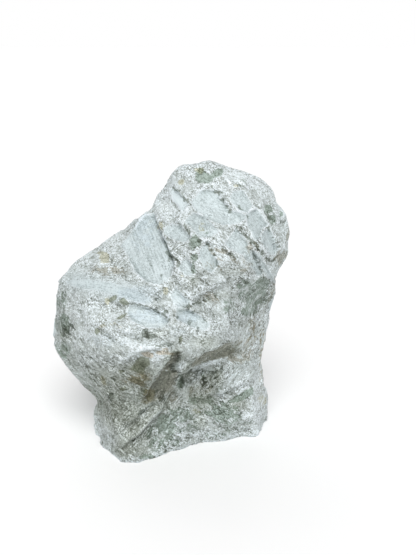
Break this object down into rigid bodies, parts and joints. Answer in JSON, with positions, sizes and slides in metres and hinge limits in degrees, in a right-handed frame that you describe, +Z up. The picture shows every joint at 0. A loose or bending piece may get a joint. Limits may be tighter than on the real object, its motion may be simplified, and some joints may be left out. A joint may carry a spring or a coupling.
{
  "type": "raw soapstone block",
  "caption": "Rough soapstone block with a broad chisel-dressed head, a bulging shoulder over a hollow and a narrower foot cut flat to stand on.",
  "frame": {"origin": "middle of the stone's box, on the plane of its flat underside", "axes": "+Z up from the underside to the top of the head; the chisel-dressed front faces -Y; +X to the right as seen from the front, on the side where the head leans"},
  "size_m": [0.1778, 0.1506, 0.2116],
  "materials": {
    "soapstone": "matt, broken and chiselled, pale grey-green"
  },
  "bodies": {
    "root": {"soapstone_block": "soapstone"}
  },
  "joints": []
}
